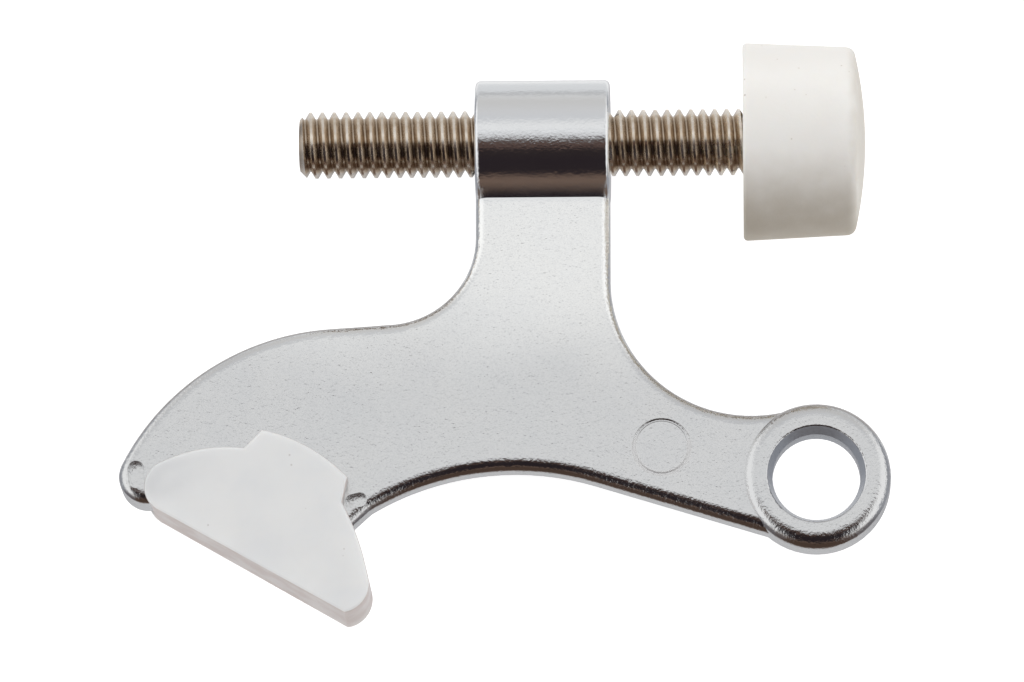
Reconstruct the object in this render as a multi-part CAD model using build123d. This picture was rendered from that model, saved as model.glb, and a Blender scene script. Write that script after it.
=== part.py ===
"""Hinge-pin door stop: a die-cast body, a threaded rod, a rubber bumper and a swivel pad.

Frame: the origin is the centre of the hinge-pin eye, on the plate's mid-plane. +Z is the pin's
axis, +Y points from the eye towards the threaded barrel, and the rod runs along X.
Lengths are millimetres.
"""

import os
from math import acos, atan2, cos, degrees, hypot, radians, sin, sqrt, tan

from build123d import *

# ---- driving dimensions -------------------------------------------------------------------

# Plate. Its faces are parallel as far left as FLARE_START_X, and then flare towards the pad.
PLATE_THICKNESS = 4.4
PLATE_EDGE_RADIUS = 1.4
FLARE_START_X = -48.0
FLARE_BEND_LENGTH = 12.0
FLARE_ANGLE = 2.2

# Eye for the hinge pin
EYE_RADIUS = 8.73
EYE_THICKNESS = 6.0
EYE_EDGE_RADIUS = 1.8
EYE_BORE_RADIUS = 5.15
EYE_LAND_LENGTH = 2.4
EYE_MOUTH_RADIUS = 5.7
EYE_MOUTH_ROUNDING = 0.25
PLATE_SINK_IN_EYE = 0.1

# Barrel and neck
BARREL_X = -32.0
BARREL_Y = 41.1
BARREL_LENGTH = 15.9
BARREL_RADIUS = 7.5
BARREL_EDGE_RADIUS = 0.6
LEAD_IN_WIDENING = 0.2
LEAD_IN_LENGTH = 1.0
NECK_RIGHT_SWEEP = 16.6
NECK_LEFT_SWEEP = 10.6

# Arm: its back is one arc that runs into the left horn, its underside is an arch
BACK_CENTRE = Vector(-55.04, -10.99)
BACK_RADIUS = 29.4
BACK_END_ANGLE = 94.0
ARCH_TOP = Vector(-35.5, 1.0)
ARCH_RADIUS = 32.3
ARCH_LEFT_X = -52.2
ARM_SLOPE = 17.2
ARCH_CORNER_RADIUS = 1.5

# Pad seat, concentric about the swivel axis, between two horns
SWIVEL_CENTRE = Vector(-69.3, -13.6)
SEAT_RADIUS = 13.5
LEFT_HORN_RADIUS = 3.3
RIGHT_HORN_RADIUS = 1.5
RIGHT_HORN_ANGLE = 32.0
GROOVE_INNER_RADIUS = 14.4
GROOVE_OUTER_RADIUS = 15.8
GROOVE_DEPTH = 0.9
GROOVE_START_ANGLE = 28.5
GROOVE_END_ANGLE = 126.0

# Pockets beside the pad's ends: centre, length, width and the angle of the long side
POCKET_DEPTH = 1.3
LEFT_POCKET = (Vector(-79.65, 0.45), 3.3, 2.0, 95)
RIGHT_POCKET = (Vector(-53.9, -2.65), 2.6, 1.7, 15)

# Swivel pad. Two cheeks of different reach lie over the horns, and a step parts them.
PAD_HALF_WIDTH_LEFT = 3.7
PAD_HALF_WIDTH_RIGHT = 4.5
PAD_WIDTH_RUN = 5.0
PAD_CLEARANCE = 0.12
PAD_CORE_RADIUS = 13.38
PAD_CORE_START_ANGLE = 21.0
PAD_CORE_END_ANGLE = 150.0
PAD_LEFT_REACH = 17.15
PAD_LEFT_ANGLES = (118.5, 82.4)
PAD_RIGHT_REACH = 19.65
PAD_RIGHT_ANGLES = (77.0, 42.5)
PAD_EDGE_ROUNDING = 0.35
PAD_TIP = Vector(-78.7, -1.2)
PAD_WAIST = Vector(-55.45, -3.3)
PAD_CALF = Vector(-53.65, -7.4)
PAD_HEEL_TOP = Vector(-52.4, -12.0)
PAD_HEEL = Vector(-52.65, -14.8)
CONTACT_LEFT = Vector(-76.9, -4.01)
CONTACT_RIGHT = Vector(-55.1, -16.5)
RIB_START_ANGLE = 32.5
RIB_END_ANGLE = 121.5
RIB_SIDE_CLEARANCE = 0.1
RIB_EDGE_MARGIN = 0.3

# Ejector-pin mark in the front face
EJECTOR_MARK_CENTRE = Vector(-18.1, 3.55)
EJECTOR_MARK_RADIUS = 3.25
EJECTOR_MARK_DEPTH = 0.14
EJECTOR_MARK_GROOVE = 0.42

# 5/16-18 thread, right-handed
PITCH = 25.4 / 18
ROD_CREST_RADIUS = 3.94
ROD_ROOT_RADIUS = 3.12
ROD_CREST_FLAT = 0.29
TAPPED_BORE_RADIUS = 3.36
THREAD_CLEARANCE = 0.1
THREAD_FLANK_ANGLE = 30.0
THREAD_OVERLAP = 0.1

# Rod
ROD_START_X = -60.85
ROD_END_X = 2.8
ROD_CHAMFER = 0.95
THREAD_ORIGIN_X = -62.14

# Bumper
BUMPER_START_X = -8.3
BUMPER_FOOT_RADIUS = 11.75
BUMPER_SHOULDER_RADIUS = 11.13
BUMPER_SHOULDER_X = 4.85
BUMPER_DOME_X = 6.18
BUMPER_SHOULDER_ROUNDING = 1.2
BUMPER_FOOT_ROUNDING = 0.5
BUMPER_BORE_CLEARANCE = 0.06
BUMPER_BORE_END_GAP = 0.1

# Sizes of cutting tools, longer than anything they cut
TALL = 40.0
FAR_LEFT_X = -90.0

# ---- derived places -----------------------------------------------------------------------

HALF_PLATE = PLATE_THICKNESS / 2
NECK_LEFT_X = BARREL_X - BARREL_LENGTH / 2
NECK_RIGHT_X = BARREL_X + BARREL_LENGTH / 2
BARREL_PLANE = Plane((BARREL_X, BARREL_Y, 0), x_dir=(0, 1, 0), z_dir=(1, 0, 0))


def polar(centre, radius, angle):
    """The point at a radius and an angle in degrees about a centre in the XY plane."""
    return centre + Vector(radius * cos(radians(angle)), radius * sin(radians(angle)))


def angle_of(centre, point):
    """The angle in degrees of a point about a centre."""
    return degrees(atan2(point.Y - centre.Y, point.X - centre.X))


def arc_about(centre, start, end, through_angle):
    """The arc about a centre from start to end that passes through an angle."""
    radius = (start - centre).length
    return ThreePointArc(start, polar(centre, radius, through_angle), end)


def circle_meeting(centre_a, radius_a, centre_b, radius_b):
    """The left-hand one of the two points at given distances from two centres."""
    across = centre_b - centre_a
    gap = across.length
    along = (radius_a**2 - radius_b**2 + gap**2) / (2 * gap)
    out = sqrt(radius_a**2 - along**2)
    unit = across.normalized()
    return centre_a + unit * along + Vector(unit.Y, -unit.X) * out


def sector(centre, inner, outer, start_angle, end_angle):
    """A face that is part of a ring about a centre."""
    middle = (start_angle + end_angle) / 2
    a, b = polar(centre, inner, start_angle), polar(centre, outer, start_angle)
    c, d = polar(centre, outer, end_angle), polar(centre, inner, end_angle)
    return make_face([Line(a, b), arc_about(centre, b, c, middle), Line(c, d),
                      arc_about(centre, d, a, middle)])


def upright(face, half_height=TALL / 2):
    """A face in the XY plane extruded equally up and down."""
    return extrude(face, half_height, both=True)


# ---- body outline -------------------------------------------------------------------------


def body_outline():
    """The plate's outline, from the neck's top right corner round the eye and back."""
    eye_centre = Vector(0, 0)
    eye_circle = EYE_RADIUS - PLATE_SINK_IN_EYE

    # Right-hand sweep: tangent to the neck's side and to the eye
    sweep_x = NECK_RIGHT_X + NECK_RIGHT_SWEEP
    sweep_y = sqrt((NECK_RIGHT_SWEEP + eye_circle) ** 2 - sweep_x**2)
    right_sweep = Vector(sweep_x, sweep_y)
    neck_right_top = Vector(NECK_RIGHT_X, BARREL_Y)
    neck_right_foot = Vector(NECK_RIGHT_X, sweep_y)
    eye_top = right_sweep.normalized() * eye_circle

    # Arch, and the straight edge that leaves it for the eye
    arch_centre = ARCH_TOP - Vector(0, ARCH_RADIUS)
    arch_left = on_arch(arch_centre, ARCH_LEFT_X)
    arch_right = polar(arch_centre, ARCH_RADIUS, 90 - ARM_SLOPE)
    eye_bottom = where_line_enters(eye_centre, eye_circle, arch_right, -ARM_SLOPE)

    # Horns
    right_horn = polar(SWIVEL_CENTRE, SEAT_RADIUS + RIGHT_HORN_RADIUS, RIGHT_HORN_ANGLE)
    left_horn = circle_meeting(BACK_CENTRE, BACK_RADIUS - LEFT_HORN_RADIUS,
                               SWIVEL_CENTRE, SEAT_RADIUS + LEFT_HORN_RADIUS)
    right_horn_start = tangent_point(arch_left, right_horn, RIGHT_HORN_RADIUS)
    right_horn_end = polar(SWIVEL_CENTRE, SEAT_RADIUS, RIGHT_HORN_ANGLE)
    left_horn_start = SWIVEL_CENTRE + (left_horn - SWIVEL_CENTRE).normalized() * SEAT_RADIUS
    left_horn_end = BACK_CENTRE + (left_horn - BACK_CENTRE).normalized() * BACK_RADIUS

    # Back, its straight end, and the left-hand sweep into the neck
    back_end = polar(BACK_CENTRE, BACK_RADIUS, BACK_END_ANGLE)
    slope = BACK_END_ANGLE - 90
    left_sweep_x = NECK_LEFT_X - NECK_LEFT_SWEEP
    line_y = back_end.Y + (left_sweep_x - back_end.X) * sin(radians(slope)) / cos(radians(slope))
    left_sweep = Vector(left_sweep_x, line_y + NECK_LEFT_SWEEP / cos(radians(slope)))
    sweep_start = polar(left_sweep, NECK_LEFT_SWEEP, slope - 90)
    neck_left_foot = Vector(NECK_LEFT_X, left_sweep.Y)
    neck_left_top = Vector(NECK_LEFT_X, BARREL_Y)

    return [
        Line(neck_right_top, neck_right_foot),
        arc_about(right_sweep, neck_right_foot, eye_top, 225),
        arc_about(eye_centre, eye_top, eye_bottom, 0),
        Line(eye_bottom, arch_right),
        arc_about(arch_centre, arch_right, arch_left, 95),
        Line(arch_left, right_horn_start),
        arc_about(right_horn, right_horn_start, right_horn_end, RIGHT_HORN_ANGLE - 90),
        arc_about(SWIVEL_CENTRE, right_horn_end, left_horn_start, 80),
        arc_about(left_horn, left_horn_start, left_horn_end, 215),
        arc_about(BACK_CENTRE, left_horn_end, back_end, 125),
        Line(back_end, sweep_start),
        arc_about(left_sweep, sweep_start, neck_left_foot, -45),
        Line(neck_left_foot, neck_left_top),
        Line(neck_left_top, neck_right_top),
    ]


def on_arch(centre, x):
    """The point of the arch above an x."""
    return Vector(x, centre.Y + sqrt(ARCH_RADIUS**2 - (x - centre.X) ** 2))


def where_line_enters(centre, radius, start, angle):
    """Where a line from start at an angle first meets a circle."""
    direction = polar(Vector(0, 0), 1, angle)
    gap = start - centre
    along = gap.dot(direction)
    return start - direction * (along + sqrt(along**2 - gap.length**2 + radius**2))


def tangent_point(start, centre, radius):
    """Where the line from start touches a circle that it keeps on its right."""
    turn = degrees(acos(radius / (start - centre).length))
    return polar(centre, radius, angle_of(centre, start) - turn)


def bend():
    """The flare's bend: its angle in radians, its radius and how far it lifts the face."""
    angle = radians(FLARE_ANGLE)
    radius = FLARE_BEND_LENGTH / sin(angle)
    return angle, radius, radius * (1 - cos(angle))


def plate_profile(offset=0.0):
    """The plate seen along Y: its faces are parallel, then flare. Offset moves both faces out."""
    angle, radius, rise = bend()
    top = HALF_PLATE + offset
    right = Vector(2 * EYE_RADIUS, top)
    start = Vector(FLARE_START_X, top)
    middle = Vector(FLARE_START_X - radius * sin(angle / 2), top + radius * (1 - cos(angle / 2)))
    end = Vector(FLARE_START_X - FLARE_BEND_LENGTH, top + rise)
    corner = Vector(FAR_LEFT_X, end.Y + (end.X - FAR_LEFT_X) * tan(angle))
    low_left, low_right = Vector(FAR_LEFT_X, 0), Vector(right.X, 0)
    upper = [
        Line(right, start),
        ThreePointArc(start, middle, end),
        Line(end, corner),
        Line(corner, low_left),
        Line(low_left, low_right),
        Line(low_right, right),
    ]
    half = extrude(Plane.XZ * make_face(upper), 2 * TALL, both=True)
    return half + mirror(half, Plane.XY)


def face_height(x):
    """How far the plate's front face stands from the mid-plane at an x left of the bend's start."""
    angle, radius, rise = bend()
    past_bend = FLARE_START_X - FLARE_BEND_LENGTH - x
    if past_bend >= 0:
        return HALF_PLATE + rise + past_bend * tan(angle)
    return HALF_PLATE + radius - sqrt(radius**2 - (FLARE_START_X - x) ** 2)


def side_edges(solid):
    """The edges round the plate's walls, but not those inside the eye."""
    chosen = {}
    for face in solid.faces():
        flat_wall = face.geom_type != GeomType.CYLINDER and abs(face.normal_at().Z) < 0.2
        if flat_wall or is_wall(face):
            chosen.update((hash(edge), edge) for edge in face.edges() if is_rim(edge))
    return list(chosen.values())


def is_wall(face):
    """Whether a curved face stands upright, as the walls of the plate's arcs do."""
    return all(abs(face.normal_at(edge.center()).Z) < 0.01 for edge in face.edges()
               if abs(edge.tangent_at(0.5).Z) > 0.99)


def is_rim(edge):
    """Whether an edge runs along a wall, away from the eye, and not up it."""
    middle = edge.position_at(0.5)
    upright_line = abs(edge.tangent_at(0.5).Z) > 0.99 and edge.geom_type == GeomType.LINE
    return not upright_line and hypot(middle.X, middle.Y) > EYE_RADIUS


def body_blank():
    """The plate with its flare and the barrel, all their outer edges rounded."""
    plate = upright(make_face(body_outline())) & plate_profile()
    corners = [edge for edge in plate.edges().filter_by(Axis.Z)
               if abs(edge.center().X - ARCH_LEFT_X) < 0.01]
    plate = fillet(corners, ARCH_CORNER_RADIUS)
    plate = fillet(side_edges(plate), PLATE_EDGE_RADIUS)
    barrel = extrude(BARREL_PLANE * Circle(BARREL_RADIUS), BARREL_LENGTH / 2, both=True)
    barrel = fillet(barrel.edges().filter_by(GeomType.CIRCLE), BARREL_EDGE_RADIUS)
    return plate + barrel


def eye_boss():
    """The eye's boss, with rounded shoulders."""
    boss = upright(Circle(EYE_RADIUS), EYE_THICKNESS / 2)
    return fillet(boss.edges(), EYE_EDGE_RADIUS)


def eye_bore():
    """The pin's hole: a short land, opening towards both faces, with rounded mouths."""
    top, land = EYE_THICKNESS / 2, EYE_LAND_LENGTH / 2
    rounding = EYE_MOUTH_ROUNDING
    outline = [
        Line((0, 0), (EYE_BORE_RADIUS, 0)),
        Line((EYE_BORE_RADIUS, 0), (EYE_BORE_RADIUS, land)),
        Line((EYE_BORE_RADIUS, land), (EYE_MOUTH_RADIUS, top - rounding)),
        ThreePointArc((EYE_MOUTH_RADIUS, top - rounding),
                      (EYE_MOUTH_RADIUS + rounding * (1 - cos(radians(45))),
                       top - rounding + rounding * sin(radians(45))),
                      (EYE_MOUTH_RADIUS + rounding, top)),
        Line((EYE_MOUTH_RADIUS + rounding, top), (EYE_MOUTH_RADIUS + rounding, top + 1)),
        Line((EYE_MOUTH_RADIUS + rounding, top + 1), (0, top + 1)),
        Line((0, top + 1), (0, 0)),
    ]
    half = revolve(Plane.XZ * make_face(outline), Axis.Z)
    return half + mirror(half, Plane.XY)


def thread_tool(length, inner, outer, outer_width):
    """A right-handed helical ridge along X from x = 0, as wide as its flanks make it inside."""
    widening = 2 * (outer - inner) * tan(radians(THREAD_FLANK_ANGLE))
    inner_width = outer_width + widening
    path = Helix(PITCH, length, inner, direction=(1, 0, 0))
    start = path.position_at(0)
    outward = Vector(0, start.Y, start.Z).normalized()
    section_plane = Plane(start, x_dir=(1, 0, 0), z_dir=Vector(1, 0, 0).cross(outward))
    half_in, half_out, height = inner_width / 2, outer_width / 2, outer - inner
    section = section_plane * make_face(Polyline(
        (-half_in, 0), (half_in, 0), (half_out, height), (-half_out, height), close=True))
    return sweep(section, path=path, is_frenet=True)


def at_x(solid, x):
    """A solid moved along X on the rod's axis."""
    return Location((x, BARREL_Y, 0)) * solid


def tapped_hole():
    """The hole through the barrel with the thread's clearance added to its groove."""
    turns_in = int((NECK_LEFT_X - THREAD_ORIGIN_X) / PITCH) - 1
    start = THREAD_ORIGIN_X + turns_in * PITCH
    length = (int(BARREL_LENGTH / PITCH) + 4) * PITCH
    crest_flat = ROD_CREST_FLAT + 2 * THREAD_CLEARANCE * tan(radians(THREAD_FLANK_ANGLE))
    groove = thread_tool(length, TAPPED_BORE_RADIUS - THREAD_OVERLAP,
                         ROD_CREST_RADIUS + THREAD_CLEARANCE, crest_flat)
    bore = extrude(BARREL_PLANE * Circle(TAPPED_BORE_RADIUS), BARREL_LENGTH, both=True)
    lead_in = Cone(ROD_CREST_RADIUS + LEAD_IN_WIDENING, TAPPED_BORE_RADIUS, LEAD_IN_LENGTH,
                   rotation=(0, 90, 0))
    left = at_x(lead_in, NECK_LEFT_X + LEAD_IN_LENGTH / 3)
    return bore + left + mirror(left, Plane.YZ.offset(BARREL_X)), at_x(groove, start)


def pockets():
    """The slots beside the pad's ends, sunk in both faces."""
    cut = []
    for centre, length, width, angle in (LEFT_POCKET, RIGHT_POCKET):
        slot = extrude(SlotOverall(length, width, rotation=angle), TALL / 4)
        hole = Location((centre.X, centre.Y, face_height(centre.X) - POCKET_DEPTH)) * slot
        cut += [hole, mirror(hole, Plane.XY)]
    return cut


def rib_groove(start_angle, end_angle, side_gap, depth):
    """The arc that the pad's ribs run in, as deep as given below both faces."""
    ring = sector(SWIVEL_CENTRE, GROOVE_INNER_RADIUS + side_gap, GROOVE_OUTER_RADIUS - side_gap,
                  start_angle, end_angle)
    return upright(ring, TALL / 4) - plate_profile(-depth)


def ejector_mark():
    """The shallow ring that an ejector pin leaves in the front face."""
    ring_radius = (EJECTOR_MARK_GROOVE**2 / 4 + EJECTOR_MARK_DEPTH**2) / (2 * EJECTOR_MARK_DEPTH)
    height = HALF_PLATE - EJECTOR_MARK_DEPTH + ring_radius
    place = (EJECTOR_MARK_CENTRE.X, EJECTOR_MARK_CENTRE.Y, height)
    return Location(place) * Torus(EJECTOR_MARK_RADIUS, ring_radius)


def stop_body():
    """The whole casting."""
    blank = body_blank() + eye_boss() - eye_bore()
    for pocket in pockets():
        blank = blank - pocket
    blank = blank - rib_groove(GROOVE_START_ANGLE, GROOVE_END_ANGLE, 0, GROOVE_DEPTH)
    blank = blank - ejector_mark()
    bore, groove = tapped_hole()
    return blank - bore - groove


def threaded_rod():
    """The rod, with its thread running from end to end and a chamfer at its free end."""
    length = ROD_END_X - ROD_START_X
    ridge = thread_tool(length + 2 * PITCH, ROD_ROOT_RADIUS - THREAD_OVERLAP, ROD_CREST_RADIUS,
                        ROD_CREST_FLAT)
    start = Plane((ROD_START_X, BARREL_Y, 0), x_dir=(0, 1, 0), z_dir=(1, 0, 0))
    core = extrude(start.offset(-PITCH) * Circle(ROD_ROOT_RADIUS), length + 2 * PITCH)
    envelope = extrude(start * Circle(ROD_CREST_RADIUS + THREAD_CLEARANCE), length)
    envelope = chamfer(envelope.edges().sort_by(Axis.X)[0], ROD_CHAMFER)
    return (core + at_x(ridge, THREAD_ORIGIN_X)) & envelope


def rubber_bumper():
    """The tapered bumper with its domed face and the blind hole for the rod."""
    hole_radius = ROD_CREST_RADIUS + BUMPER_BORE_CLEARANCE
    hole_end = ROD_END_X + BUMPER_BORE_END_GAP
    dome_rise = BUMPER_DOME_X - BUMPER_SHOULDER_X
    dome_radius = (BUMPER_SHOULDER_RADIUS**2 + dome_rise**2) / (2 * dome_rise)
    half = BUMPER_SHOULDER_RADIUS / 2
    dome_middle = (BUMPER_DOME_X - dome_radius + sqrt(dome_radius**2 - half**2), half)
    section = make_face([
        Line((BUMPER_START_X, hole_radius), (BUMPER_START_X, BUMPER_FOOT_RADIUS)),
        Line((BUMPER_START_X, BUMPER_FOOT_RADIUS), (BUMPER_SHOULDER_X, BUMPER_SHOULDER_RADIUS)),
        ThreePointArc((BUMPER_SHOULDER_X, BUMPER_SHOULDER_RADIUS), dome_middle,
                      (BUMPER_DOME_X, 0)),
        Line((BUMPER_DOME_X, 0), (hole_end, 0)),
        Line((hole_end, 0), (hole_end, hole_radius)),
        Line((hole_end, hole_radius), (BUMPER_START_X, hole_radius)),
    ])
    section = fillet(section.vertices().group_by(Axis.Y)[-1], BUMPER_FOOT_ROUNDING)
    shoulder = section.vertices().sort_by_distance((BUMPER_SHOULDER_X, BUMPER_SHOULDER_RADIUS))
    section = fillet(shoulder[0], BUMPER_SHOULDER_ROUNDING)
    return Location((0, BARREL_Y, 0)) * revolve(section, Axis.X)


def pad_outline():
    """The pad's outline: two back arcs about the swivel axis, a step, and the flat face."""
    centre = SWIVEL_CENTRE
    left_start, left_end = (polar(centre, PAD_LEFT_REACH, angle) for angle in PAD_LEFT_ANGLES)
    right_start, right_end = (polar(centre, PAD_RIGHT_REACH, angle) for angle in PAD_RIGHT_ANGLES)
    return make_face([
        ThreePointArc(CONTACT_LEFT, PAD_TIP, left_start),
        arc_about(centre, left_start, left_end, sum(PAD_LEFT_ANGLES) / 2),
        Line(left_end, right_start),
        arc_about(centre, right_start, right_end, sum(PAD_RIGHT_ANGLES) / 2),
        Line(right_end, PAD_WAIST),
        ThreePointArc(PAD_WAIST, PAD_CALF, PAD_HEEL_TOP),
        ThreePointArc(PAD_HEEL_TOP, PAD_HEEL, CONTACT_RIGHT),
        Line(CONTACT_RIGHT, CONTACT_LEFT),
    ])


def pad_envelope():
    """The pad's outline between two faces that part towards the right, its edges rounded."""
    left, right = CONTACT_LEFT.X - PAD_WIDTH_RUN, CONTACT_RIGHT.X + PAD_WIDTH_RUN
    slope = (PAD_HALF_WIDTH_RIGHT - PAD_HALF_WIDTH_LEFT) / (CONTACT_RIGHT.X - CONTACT_LEFT.X)
    narrow = PAD_HALF_WIDTH_LEFT - PAD_WIDTH_RUN * slope
    wide = PAD_HALF_WIDTH_RIGHT + PAD_WIDTH_RUN * slope
    side_view = Plane.XZ * make_face(Polyline((left, -narrow), (right, -wide), (right, wide),
                                              (left, narrow), close=True))
    envelope = upright(pad_outline()) & extrude(side_view, 2 * TALL, both=True)
    outer = [edge for edge in envelope.edges() if abs(edge.position_at(0.5).Z) > narrow
             and abs(edge.tangent_at(0.5).Z) < 0.5]
    return fillet(outer, PAD_EDGE_ROUNDING)


def swivel_pad():
    """The pad: a solid core behind its flat face, two cheeks, and a rib inside each cheek."""
    slot = upright(sector(SWIVEL_CENTRE, PAD_CORE_RADIUS, TALL, PAD_CORE_START_ANGLE,
                          PAD_CORE_END_ANGLE))
    slot = slot & plate_profile(PAD_CLEARANCE)
    ribs = rib_groove(RIB_START_ANGLE, RIB_END_ANGLE, RIB_SIDE_CLEARANCE,
                      GROOVE_DEPTH - PAD_CLEARANCE)
    ribs = ribs & upright(pad_outline(), PAD_HALF_WIDTH_LEFT - RIB_EDGE_MARGIN)
    return pad_envelope() - slot + ribs


PARTS = {
    "stop_body": stop_body,
    "threaded_rod": threaded_rod,
    "rubber_bumper": rubber_bumper,
    "swivel_pad": swivel_pad,
}

os.makedirs("parts", exist_ok=True)
for name, make in PARTS.items():
    export_step(make(), f"parts/{name}.step")
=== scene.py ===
"""The looks of a hinge-pin door stop: a chrome-plated casting, a nickel-tinted screw, a rubber
bumper and a nylon pad, on a pale floor in soft studio light. Metres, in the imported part's frame.
"""

from math import cos, pi, radians, sin

import bpy
from mathutils import Matrix, Vector


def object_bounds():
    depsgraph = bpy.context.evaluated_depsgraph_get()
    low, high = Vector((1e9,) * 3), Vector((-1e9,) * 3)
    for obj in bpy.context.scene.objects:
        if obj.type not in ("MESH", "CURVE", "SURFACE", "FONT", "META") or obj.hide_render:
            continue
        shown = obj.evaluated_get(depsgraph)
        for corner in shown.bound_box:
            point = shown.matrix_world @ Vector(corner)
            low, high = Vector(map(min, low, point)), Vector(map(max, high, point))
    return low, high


# ---- camera and stage ---------------------------------------------------------------------

CAMERA_AIM = Vector((-0.0357, 0.0170, 0.0))
CAMERA_ELEVATION = 76.0
CAMERA_SIDEWAYS = 1.75
CAMERA_DISTANCE = 0.9
CAMERA_CLIP_START = 0.01
CAMERA_CLIP_END = 20
FRAME_WIDTH_AT_AIM = 0.12075
SENSOR_WIDTH = 36.0

FLOOR_HALF_SIZE = 3.0
FLOOR_COLOUR = (0.5, 0.5, 0.5, 1)
FLOOR_ROUGHNESS = 0.9
FLOOR_GLOW_COLOUR = (1, 1, 1, 1)
FLOOR_GLOW = 0.85

LAMP_WATTS = 3.6
LAMP_SIZE = 1.2
LAMP_PLACE = Vector((-0.1, 0.25, 0.9))

# Studio seen by shiny surfaces: the angle round the X axis in degrees, from the horizon behind
# the camera (0) over the zenith (90) to the far horizon (180) and under the object, and what
# stands there, as linear red, green and blue.
STUDIO = [
    (-180, (0.44, 0.44, 0.45)),
    (-173, (0.74, 0.75, 0.76)),
    (-150, (0.76, 0.77, 0.78)),
    (-132, (0.95, 0.95, 0.95)),
    (-114, (0.70, 0.70, 0.71)),
    (-104, (0.45, 0.45, 0.47)),
    (-76, (0.62, 0.62, 0.63)),
    (-58, (0.60, 0.60, 0.61)),
    (-48, (0.17, 0.127, 0.11)),
    (-40, (0.148, 0.105, 0.082)),
    (10, (0.158, 0.107, 0.083)),
    (20, (0.025, 0.019, 0.021)),
    (44, (0.023, 0.017, 0.020)),
    (66, (0.029, 0.022, 0.022)),
    (71, (0.110, 0.070, 0.060)),
    (77, (0.105, 0.068, 0.058)),
    (80, (0.030, 0.022, 0.020)),
    (84, (0.30, 0.29, 0.29)),
    (89, (0.70, 0.70, 0.71)),
    (97, (0.78, 0.79, 0.80)),
    (104, (0.90, 0.90, 0.90)),
    (111, (0.84, 0.84, 0.84)),
    (124, (0.64, 0.65, 0.67)),
    (132, (0.68, 0.68, 0.69)),
    (160, (0.63, 0.62, 0.61)),
    (174, (0.72, 0.72, 0.72)),
    (180, (0.44, 0.44, 0.45)),
]

# The studio's two side walls: their colours above and below the horizon, how far to the side
# a direction has to point to meet them, and the heights between which the colour changes.
STUDIO_SIDES = (1.0, 1.0, 1.0)
STUDIO_SIDES_BELOW = (0.34, 0.35, 0.38)
STUDIO_SIDE_START = 0.42
STUDIO_SIDE_END = 0.78
STUDIO_SIDE_LOW = -0.15
STUDIO_SIDE_HIGH = 0.10

# ---- chrome -------------------------------------------------------------------------------

# Painted shade: the chrome's colour is a bright copy at high Y and a darker copy at low Y, blended
# along Y with a ragged edge
CHROME_BRIGHT = ((0.92, 0.93, 0.93), (0.97, 0.97, 0.95))
CHROME_PAINTED_DARKER = ((0.69, 0.70, 0.71), (0.77, 0.77, 0.765))
CHROME_PAINTED_DARKER_UP_TO_Y = 0.012
CHROME_BRIGHT_FROM_Y = 0.029
CHROME_DRIFT = 0.006

# Painted shade: rounded edges that face up or down are painted darker, as their dark reflection,
# where their normal's Z and Y are in these ranges
EDGE_PAINTED_SHADE = (0.30, 0.27, 0.26)
EDGE_PAINTED_SHADE_SHARE = 0.8
EDGE_FORWARD_RISE = (0.26, 0.40)
EDGE_FORWARD_FALL = (0.62, 0.76)
EDGE_UPWARD = (0.35, 0.60)

# Painted shade inside the eye's bore and a painted highlight in the low part of the ejector mark's
# groove, both less metallic
EYE_BORE_PAINTED_SHADE = (0.36, 0.38, 0.42)
EYE_BORE_FROM = 0.00570
EYE_BORE_TO = 0.00580
MARK_PAINTED_HIGHLIGHT = (0.72, 0.72, 0.72)
MARK_HIGHLIGHT_RAGGED = 0.004
MARK_HIGHLIGHT_FULL_BELOW = 0.0026
MARK_HIGHLIGHT_NONE_ABOVE = 0.0036
PAINTED_MARK_METAL_DROP = -0.7
EJECTOR_MARK_X = -0.0181
EJECTOR_MARK_Y = 0.00355
EJECTOR_MARK_RADIUS = 0.00325
EJECTOR_MARK_GROOVE = 0.00024
FRONT_FACE_FROM_Z = 0.001

# The barrel is smoother than the plate and a little darker
BARREL_COLOUR = (0.845, 0.855, 0.865)
BARREL_FOOT_Y = 0.0340
BARREL_FOOT_BLEND = 0.001
BARREL_POLISH = -0.5

# Height in metres of each layer of the casting's surface
CHROME_WAVES = 0.000020
CHROME_CLOTS = 0.000045
CHROME_GRAIN = 0.000050
CHROME_PITS = 0.000006

# ---- nickel -------------------------------------------------------------------------------

NICKEL_TARNISHED = (0.70, 0.60, 0.49)
NICKEL_BRIGHT = (0.90, 0.83, 0.74)
# Painted shade for the thread's roots
NICKEL_ROOT_PAINTED_SHADE = (0.50, 0.41, 0.32)
NICKEL_STREAK_SHAPE = (1.0, 0.12, 0.12)
NICKEL_STREAKS = 0.000005
ROD_AXIS_Y = 0.0411
THREAD_ROOT = 0.0031
THREAD_CREST = 0.0039

# ---- rubber -------------------------------------------------------------------------------

RUBBER_CLEAN = ((0.93, 0.91, 0.87), (0.96, 0.945, 0.91))
# Darker, yellower colour on the rubber's low side and rim: painted shade with some yellowing
RUBBER_YELLOWED_AND_SHADED = (0.50, 0.45, 0.37)
RUBBER_DUSTY = (0.82, 0.80, 0.765)
RUBBER_DIRT = (0.42, 0.36, 0.27)
RUBBER_DIRT_SHARE = 0.6
RUBBER_RIM_SHARE = 0.55
RUBBER_LOW_BLOTCH = 0.0025
RUBBER_RIM_BLOTCH = 0.0012
RUBBER_LOW_SHADE_FULL_UP_TO_Y = 0.0295
RUBBER_LOW_SHADE_NONE_FROM_Y = 0.0390
RUBBER_RIM_FROM_X = 0.0043
RUBBER_RIM_TO_X = 0.0062
RUBBER_DUST_FROM_Y = 0.0445
RUBBER_DUST_TO_Y = 0.0510
RUBBER_GRAIN = 0.000016
RUBBER_ROUGHNESS = 0.55
RUBBER_SCATTER = 0.15
RUBBER_SCATTER_COLOUR = (1.0, 0.8, 0.6)
RUBBER_SCATTER_DEPTH = 0.001

# ---- nylon --------------------------------------------------------------------------------

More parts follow.
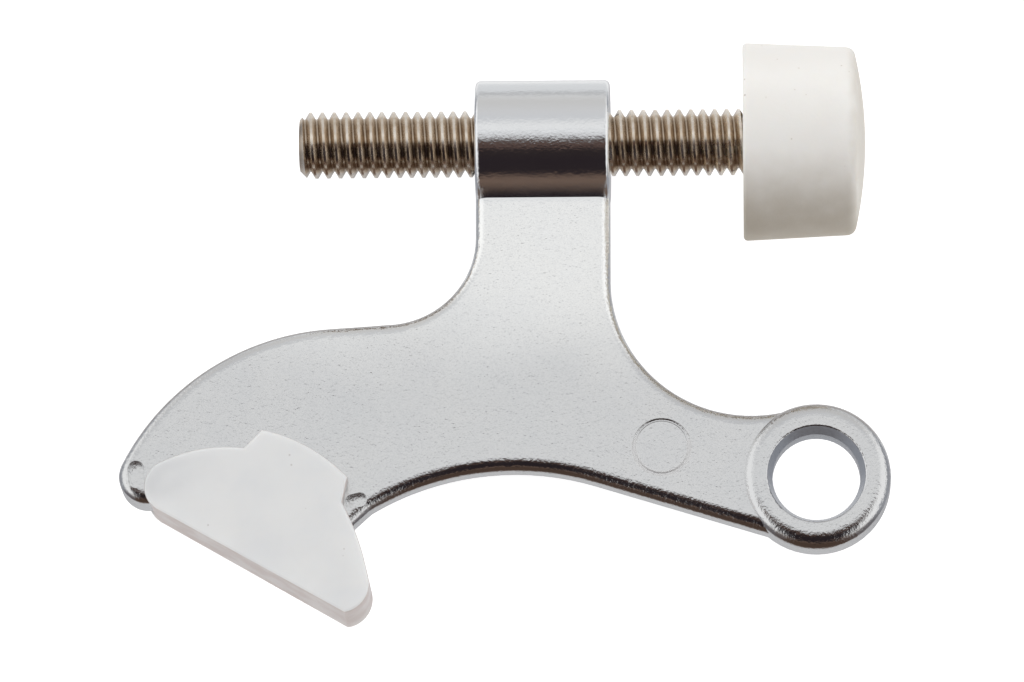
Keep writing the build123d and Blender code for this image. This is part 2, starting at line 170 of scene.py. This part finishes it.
NYLON_CLEAN = ((0.81, 0.82, 0.825), (0.85, 0.855, 0.85))
# Painted shade for the nylon's sideways faces
NYLON_SIDE_PAINTED_SHADE = (0.58, 0.515, 0.49)
NYLON_SPECK = (0.45, 0.42, 0.40)
NYLON_SPECK_SHARE = 0.45
NYLON_SIDE_SHADE_FULL_BELOW = 0.35
NYLON_SIDE_SHADE_NONE_ABOVE = 0.80
NYLON_SHADE_PATCHES_LEAST = 0.65
NYLON_WAVES = 0.00002
NYLON_GRAIN = 0.000006
NYLON_ROUGHNESS = 0.38
NYLON_SCATTER = 0.6
NYLON_SCATTER_COLOUR = (1.0, 0.95, 0.9)
NYLON_SCATTER_DEPTH = 0.0016

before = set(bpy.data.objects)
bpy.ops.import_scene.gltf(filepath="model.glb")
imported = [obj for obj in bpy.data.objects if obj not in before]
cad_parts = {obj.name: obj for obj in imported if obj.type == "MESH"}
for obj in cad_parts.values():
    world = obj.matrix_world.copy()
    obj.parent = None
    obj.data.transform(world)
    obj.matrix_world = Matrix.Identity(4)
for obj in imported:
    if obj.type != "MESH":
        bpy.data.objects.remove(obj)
cad_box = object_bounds()


# ---- node helpers -------------------------------------------------------------------------


def new_material(name):
    """A new node material: itself, its tree, its shader and its coordinates in metres."""
    material = bpy.data.materials.new(name)
    material.use_nodes = True
    tree = material.node_tree
    shader = tree.nodes["Principled BSDF"]
    place = tree.nodes.new("ShaderNodeTexCoord").outputs["Object"]
    return material, tree, shader, place


def noise(tree, place, size, detail=2.0, roughness=0.5):
    """Cloudy noise from 0 to 1, whose blotches are about size metres across."""
    node = tree.nodes.new("ShaderNodeTexNoise")
    node.inputs["Scale"].default_value = 1 / size
    node.inputs["Detail"].default_value = detail
    node.inputs["Roughness"].default_value = roughness
    tree.links.new(place, node.inputs["Vector"])
    return node.outputs["Fac"]


def cells(tree, place, size):
    """The distance to the nearest of scattered points about size metres apart, in sizes."""
    node = tree.nodes.new("ShaderNodeTexVoronoi")
    node.inputs["Scale"].default_value = 1 / size
    tree.links.new(place, node.inputs["Vector"])
    return node.outputs["Distance"]


def stretch(tree, place, factors):
    """The coordinates with each axis scaled."""
    node = tree.nodes.new("ShaderNodeMapping")
    node.inputs["Scale"].default_value = factors
    tree.links.new(place, node.inputs["Vector"])
    return node.outputs["Vector"]


def remap(tree, value, low, high, to_low=0.0, to_high=1.0):
    """value from low to high, smoothly taken to the range from to_low to to_high."""
    node = tree.nodes.new("ShaderNodeMapRange")
    node.interpolation_type = "SMOOTHSTEP"
    tree.links.new(value, node.inputs["Value"])
    for name, number in (("From Min", low), ("From Max", high),
                         ("To Min", to_low), ("To Max", to_high)):
        node.inputs[name].default_value = number
    return node.outputs["Result"]


def calculate(tree, operation, *values):
    """A Math node of sockets or numbers."""
    node = tree.nodes.new("ShaderNodeMath")
    node.operation = operation
    for socket, value in zip(node.inputs, values):
        if isinstance(value, (int, float)):
            socket.default_value = value
        else:
            tree.links.new(value, socket)
    return node.outputs["Value"]


def multiply(tree, first, second):
    """The product of two sockets or numbers."""
    return calculate(tree, "MULTIPLY", first, second)


def multiply_add(tree, value, factor, addend):
    """value times factor, plus addend."""
    return calculate(tree, "MULTIPLY_ADD", value, factor, addend)


def blend_colour(tree, factor, first, second):
    """A mix of two colours, each a tuple or a socket."""
    node = tree.nodes.new("ShaderNodeMix")
    node.data_type = "RGBA"
    tree.links.new(factor, node.inputs["Factor"])
    for socket, colour in ((node.inputs[6], first), (node.inputs[7], second)):
        if isinstance(colour, tuple):
            socket.default_value = (*colour, 1)
        else:
            tree.links.new(colour, socket)
    return node.outputs[2]


def bump(tree, layers):
    """Stacked bumps: each layer is a height from 0 to 1 and how many metres that is."""
    normal = None
    for height, depth in layers:
        node = tree.nodes.new("ShaderNodeBump")
        node.inputs["Strength"].default_value = 1.0
        node.inputs["Distance"].default_value = depth
        tree.links.new(height, node.inputs["Height"])
        if normal is not None:
            tree.links.new(normal, node.inputs["Normal"])
        normal = node.outputs["Normal"]
    return normal


def split(tree, vector):
    """The x, y and z sockets of a vector."""
    node = tree.nodes.new("ShaderNodeSeparateXYZ")
    tree.links.new(vector, node.inputs[0])
    return node.outputs


def surface_normal(tree):
    """The x, y and z sockets of the surface's own normal, in the object's axes."""
    return split(tree, tree.nodes.new("ShaderNodeTexCoord").outputs["Normal"])


def distance(tree, across, up, centre_across, centre_up):
    """How far a point lies from an axis, from its two coordinates across that axis."""
    a = calculate(tree, "SUBTRACT", across, centre_across)
    b = calculate(tree, "SUBTRACT", up, centre_up)
    return calculate(tree, "SQRT", multiply_add(tree, a, a, multiply(tree, b, b)))


def let_light_in(shader, weight, colour, depth):
    """Light scatters under the surface, to about depth metres."""
    shader.inputs["Subsurface Weight"].default_value = weight
    shader.inputs["Subsurface Radius"].default_value = colour
    shader.inputs["Subsurface Scale"].default_value = depth


# ---- materials ----------------------------------------------------------------------------


def painted_shade_on_rounded_edge(tree):
    """How much painted shade a spot gets for lying on a rounded edge that faces up or down."""
    normal = surface_normal(tree)
    upward = calculate(tree, "ABSOLUTE", normal[1])
    forward = calculate(tree, "ABSOLUTE", normal[2])
    rising = remap(tree, forward, *EDGE_FORWARD_RISE)
    falling = remap(tree, forward, *EDGE_FORWARD_FALL, 1.0, 0.0)
    return multiply(tree, multiply(tree, rising, falling),
                    remap(tree, upward, *EDGE_UPWARD, 0.0, EDGE_PAINTED_SHADE_SHARE))


def painted_highlight_in_mark(tree, place, x, y, z):
    """How much painted highlight fills the ejector mark's groove: its low part, to a ragged
    height.
    """
    from_ring = calculate(tree, "SUBTRACT",
                          distance(tree, x, y, EJECTOR_MARK_X, EJECTOR_MARK_Y),
                          EJECTOR_MARK_RADIUS)
    in_ring = remap(tree, calculate(tree, "ABSOLUTE", from_ring), EJECTOR_MARK_GROOVE,
                    1.5 * EJECTOR_MARK_GROOVE, 1.0, 0.0)
    ragged = multiply_add(tree, noise(tree, place, 0.0008), MARK_HIGHLIGHT_RAGGED, y)
    low = remap(tree, ragged, EJECTOR_MARK_Y + MARK_HIGHLIGHT_FULL_BELOW,
                EJECTOR_MARK_Y + MARK_HIGHLIGHT_NONE_ABOVE, 1.0, 0.0)
    in_front = remap(tree, z, 0.0, FRONT_FACE_FROM_Z)
    return multiply(tree, multiply(tree, in_ring, low), in_front)


def chrome():
    """Bright chrome over a zinc casting, whose fine grain and slow waves show in reflections; its
    colour carries painted shade and a painted highlight.
    """
    material, tree, shader, place = new_material("chrome_plate")
    x, y, z = split(tree, place)
    haze = noise(tree, place, 0.006, detail=4)
    bright = blend_colour(tree, haze, *CHROME_BRIGHT)
    dull = blend_colour(tree, haze, *CHROME_PAINTED_DARKER)
    drift = multiply_add(tree, noise(tree, place, 0.012, detail=1), CHROME_DRIFT, y)
    painted_gradient = remap(tree, drift, CHROME_PAINTED_DARKER_UP_TO_Y, CHROME_BRIGHT_FROM_Y)
    in_eye = remap(tree, distance(tree, x, y, 0, 0), EYE_BORE_FROM, EYE_BORE_TO, 1.0, 0.0)
    mark_highlight = painted_highlight_in_mark(tree, place, x, y, z)
    on_barrel = remap(tree, y, BARREL_FOOT_Y - BARREL_FOOT_BLEND, BARREL_FOOT_Y)

    # Painted shade: darker chrome towards low Y
    colour = blend_colour(tree, painted_gradient, dull, bright)
    # Painted shade on rounded edges that face up or down
    colour = blend_colour(tree, painted_shade_on_rounded_edge(tree), colour, EDGE_PAINTED_SHADE)
    # Painted shade inside the eye's bore
    colour = blend_colour(tree, in_eye, colour, EYE_BORE_PAINTED_SHADE)
    # Painted highlight in the low part of the ejector mark's groove
    colour = blend_colour(tree, mark_highlight, colour, MARK_PAINTED_HIGHLIGHT)
    colour = blend_colour(tree, on_barrel, colour, BARREL_COLOUR)

    roughcast = multiply_add(tree, on_barrel, BARREL_POLISH, 1.0)
    waves = noise(tree, place, 0.0045, detail=1)
    clots = multiply(tree, noise(tree, place, 0.0009), roughcast)
    grain = multiply(tree, noise(tree, place, 0.00030, 2, 0.6), roughcast)
    pits = remap(tree, cells(tree, place, 0.0019), 0.02, 0.09)
    normal = bump(tree, [(waves, CHROME_WAVES), (clots, CHROME_CLOTS), (grain, CHROME_GRAIN),
                         (pits, CHROME_PITS)])

    # The painted shade in the bore and the painted highlight in the mark are less metallic, so
    # their colours show
    painted_marks = calculate(tree, "MAXIMUM", mark_highlight, in_eye)
    tree.links.new(colour, shader.inputs["Base Color"])
    tree.links.new(remap(tree, haze, 0.3, 0.7, 0.07, 0.14), shader.inputs["Roughness"])
    tree.links.new(normal, shader.inputs["Normal"])
    tree.links.new(multiply_add(tree, painted_marks, PAINTED_MARK_METAL_DROP, 1.0), shader.inputs["Metallic"])
    return material


def nickel():
    """Warm nickel on a rolled steel thread, with dull tarnish in places and painted shade in the
    thread's roots.
    """
    material, tree, shader, place = new_material("nickel_plate")
    _, y, z = split(tree, place)
    tarnish = noise(tree, place, 0.0024, detail=4, roughness=0.6)
    tarnish_and_side_shade = blend_colour(tree, remap(tree, tarnish, 0.35, 0.65), NICKEL_TARNISHED, NICKEL_BRIGHT)
    radius = distance(tree, y, z, ROD_AXIS_Y, 0)
    # Painted shade: the thread's roots are painted darker than its crests
    colour = blend_colour(tree, remap(tree, radius, THREAD_ROOT, THREAD_CREST), NICKEL_ROOT_PAINTED_SHADE, tarnish_and_side_shade)
    streaks = noise(tree, stretch(tree, place, NICKEL_STREAK_SHAPE), 0.00018, detail=3)
    tree.links.new(colour, shader.inputs["Base Color"])
    tree.links.new(remap(tree, tarnish, 0.3, 0.7, 0.16, 0.29), shader.inputs["Roughness"])
    tree.links.new(bump(tree, [(streaks, NICKEL_STREAKS)]), shader.inputs["Normal"])
    shader.inputs["Metallic"].default_value = 1.0
    return material


def rubber():
    """Off-white rubber, a little yellowed and dusty, with painted shade on its low side and rim,
    and the mould's fine grain.
    """
    material, tree, shader, place = new_material("white_rubber")
    x, y, _ = split(tree, place)
    cloud = noise(tree, place, 0.007, detail=3)
    blotches = noise(tree, place, 0.003, detail=3)
    # Painted shade with some yellowing: the low side and the rim turn darker and yellower
    low = remap(tree, multiply_add(tree, blotches, RUBBER_LOW_BLOTCH, y),
                RUBBER_LOW_SHADE_FULL_UP_TO_Y, RUBBER_LOW_SHADE_NONE_FROM_Y, 1.0, 0.0)
    rim = remap(tree, multiply_add(tree, blotches, RUBBER_RIM_BLOTCH, x),
                RUBBER_RIM_FROM_X, RUBBER_RIM_TO_X)
    yellowed_and_shaded = calculate(tree, "MAXIMUM", low, multiply(tree, rim, RUBBER_RIM_SHARE))
    dusty = remap(tree, y, RUBBER_DUST_FROM_Y, RUBBER_DUST_TO_Y)
    speck = remap(tree, cells(tree, place, 0.0014), 0.05, 0.13, 1.0, 0.0)
    sparse = remap(tree, noise(tree, place, 0.004), 0.46, 0.60)
    dirt = multiply(tree, multiply(tree, speck, sparse), RUBBER_DIRT_SHARE)

    colour = blend_colour(tree, remap(tree, cloud, 0.3, 0.7), *RUBBER_CLEAN)
    colour = blend_colour(tree, dusty, colour, RUBBER_DUSTY)
    colour = blend_colour(tree, yellowed_and_shaded, colour, RUBBER_YELLOWED_AND_SHADED)
    colour = blend_colour(tree, dirt, colour, RUBBER_DIRT)

    grain = noise(tree, place, 0.00035, detail=3)
    tree.links.new(colour, shader.inputs["Base Color"])
    tree.links.new(bump(tree, [(grain, RUBBER_GRAIN)]), shader.inputs["Normal"])
    shader.inputs["Roughness"].default_value = RUBBER_ROUGHNESS
    let_light_in(shader, RUBBER_SCATTER, RUBBER_SCATTER_COLOUR, RUBBER_SCATTER_DEPTH)
    return material


def nylon():
    """Milky nylon that light enters a little, with a soft gloss and painted shade, greyer and
    patchy, on its sideways faces.
    """
    material, tree, shader, place = new_material("white_nylon")
    cloud = noise(tree, place, 0.006, detail=3)
    forward = calculate(tree, "ABSOLUTE", surface_normal(tree)[2])
    # Painted shade on the faces that turn sideways, broken into patches
    tarnish_and_side_shade = remap(tree, forward, NYLON_SIDE_SHADE_FULL_BELOW, NYLON_SIDE_SHADE_NONE_ABOVE, 1.0, 0.0)
    shade_patches = remap(tree, noise(tree, place, 0.0035, detail=3), 0.35, 0.65,
                   NYLON_SHADE_PATCHES_LEAST, 1.0)
    speck = remap(tree, cells(tree, place, 0.0023), 0.03, 0.07, NYLON_SPECK_SHARE, 0.0)

    colour = blend_colour(tree, remap(tree, cloud, 0.3, 0.7), *NYLON_CLEAN)
    colour = blend_colour(tree, multiply(tree, tarnish_and_side_shade, shade_patches), colour, NYLON_SIDE_PAINTED_SHADE)
    colour = blend_colour(tree, speck, colour, NYLON_SPECK)

    waves = noise(tree, place, 0.004, detail=1)
    grain = noise(tree, place, 0.0005, detail=2)
    normal = bump(tree, [(waves, NYLON_WAVES), (grain, NYLON_GRAIN)])
    tree.links.new(colour, shader.inputs["Base Color"])
    tree.links.new(normal, shader.inputs["Normal"])
    shader.inputs["Roughness"].default_value = NYLON_ROUGHNESS
    let_light_in(shader, NYLON_SCATTER, NYLON_SCATTER_COLOUR, NYLON_SCATTER_DEPTH)
    return material


def cover(node, material):
    """Gives a CAD node its material."""
    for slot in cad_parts[node].material_slots:
        slot.material = material


# ---- stage --------------------------------------------------------------------------------


def make_floor():
    """A plain pale floor under the object's lowest point. Shiny metal reflects the studio."""
    lowest = cad_box[0].z
    half = FLOOR_HALF_SIZE
    mesh = bpy.data.meshes.new("floor")
    corners = [(-half, -half, lowest), (half, -half, lowest),
               (half, half, lowest), (-half, half, lowest)]
    mesh.from_pydata(corners, [], [(0, 1, 2, 3)])
    floor = bpy.data.objects.new("floor", mesh)
    bpy.context.scene.collection.objects.link(floor)
    material, _, shader, _ = new_material("floor_paint")
    shader.inputs["Base Color"].default_value = FLOOR_COLOUR
    shader.inputs["Roughness"].default_value = FLOOR_ROUGHNESS
    shader.inputs["Emission Color"].default_value = FLOOR_GLOW_COLOUR
    shader.inputs["Emission Strength"].default_value = FLOOR_GLOW
    mesh.materials.append(material)
    floor.visible_glossy = False


def make_studio():
    """The world: a light tent that is open and dark behind the camera."""
    world = bpy.data.worlds.new("studio")
    bpy.context.scene.world = world
    world.use_nodes = True
    tree = world.node_tree
    direction = tree.nodes.new("ShaderNodeTexCoord").outputs["Generated"]
    x, y, z = split(tree, direction)
    turn = calculate(tree, "ARCTAN2", z, multiply(tree, y, -1.0))
    share = multiply_add(tree, turn, 1 / (2 * pi), 0.5)
    ramp = tree.nodes.new("ShaderNodeValToRGB")
    tree.links.new(share, ramp.inputs["Fac"])
    elements = ramp.color_ramp.elements
    for index, (angle, colour) in enumerate(STUDIO):
        position = (angle + 180) / 360
        element = elements[index] if index < 2 else elements.new(position)
        element.position = position
        element.color = (*colour, 1)
    side = remap(tree, calculate(tree, "ABSOLUTE", x), STUDIO_SIDE_START, STUDIO_SIDE_END)
    side_colour = blend_colour(tree, remap(tree, z, STUDIO_SIDE_LOW, STUDIO_SIDE_HIGH),
                               STUDIO_SIDES_BELOW, STUDIO_SIDES)
    colour = blend_colour(tree, side, ramp.outputs["Color"], side_colour)
    tree.links.new(colour, tree.nodes["Background"].inputs["Color"])


def make_light():
    """A large overhead softbox, which lights matte surfaces and isn't seen in the metal."""
    lamp = bpy.data.lights.new("softbox", "AREA")
    lamp.shape = "SQUARE"
    lamp.size = LAMP_SIZE
    lamp.energy = LAMP_WATTS
    light = bpy.data.objects.new("softbox", lamp)
    light.location = LAMP_PLACE
    light.rotation_euler = (-LAMP_PLACE).to_track_quat("-Z", "Y").to_euler()
    light.visible_glossy = False
    bpy.context.scene.collection.objects.link(light)


def make_camera():
    """The camera, in front of the object and high above it."""
    tilt, sideways = radians(CAMERA_ELEVATION), radians(CAMERA_SIDEWAYS)
    back = Vector((sin(sideways), -cos(tilt) * cos(sideways), sin(tilt) * cos(sideways)))
    right = Vector((0, 1, 0)).cross(back).normalized()
    data = bpy.data.cameras.new("camera")
    data.sensor_width = SENSOR_WIDTH
    data.lens = SENSOR_WIDTH * CAMERA_DISTANCE / FRAME_WIDTH_AT_AIM
    data.clip_start, data.clip_end = CAMERA_CLIP_START, CAMERA_CLIP_END
    camera = bpy.data.objects.new("camera", data)
    camera.location = CAMERA_AIM + back * CAMERA_DISTANCE
    camera.rotation_mode = "QUATERNION"
    turn = Matrix((right, back.cross(right), back)).transposed()
    camera.rotation_quaternion = turn.to_quaternion()
    bpy.context.scene.collection.objects.link(camera)
    bpy.context.scene.camera = camera


# ---- the object ---------------------------------------------------------------------------

cover("stop_body", chrome())
cover("threaded_rod", nickel())
cover("rubber_bumper", rubber())
cover("swivel_pad", nylon())

make_floor()
make_studio()
make_light()
make_camera()

view_settings = bpy.context.scene.view_settings
view_settings.view_transform = "Standard"
view_settings.look = "None"
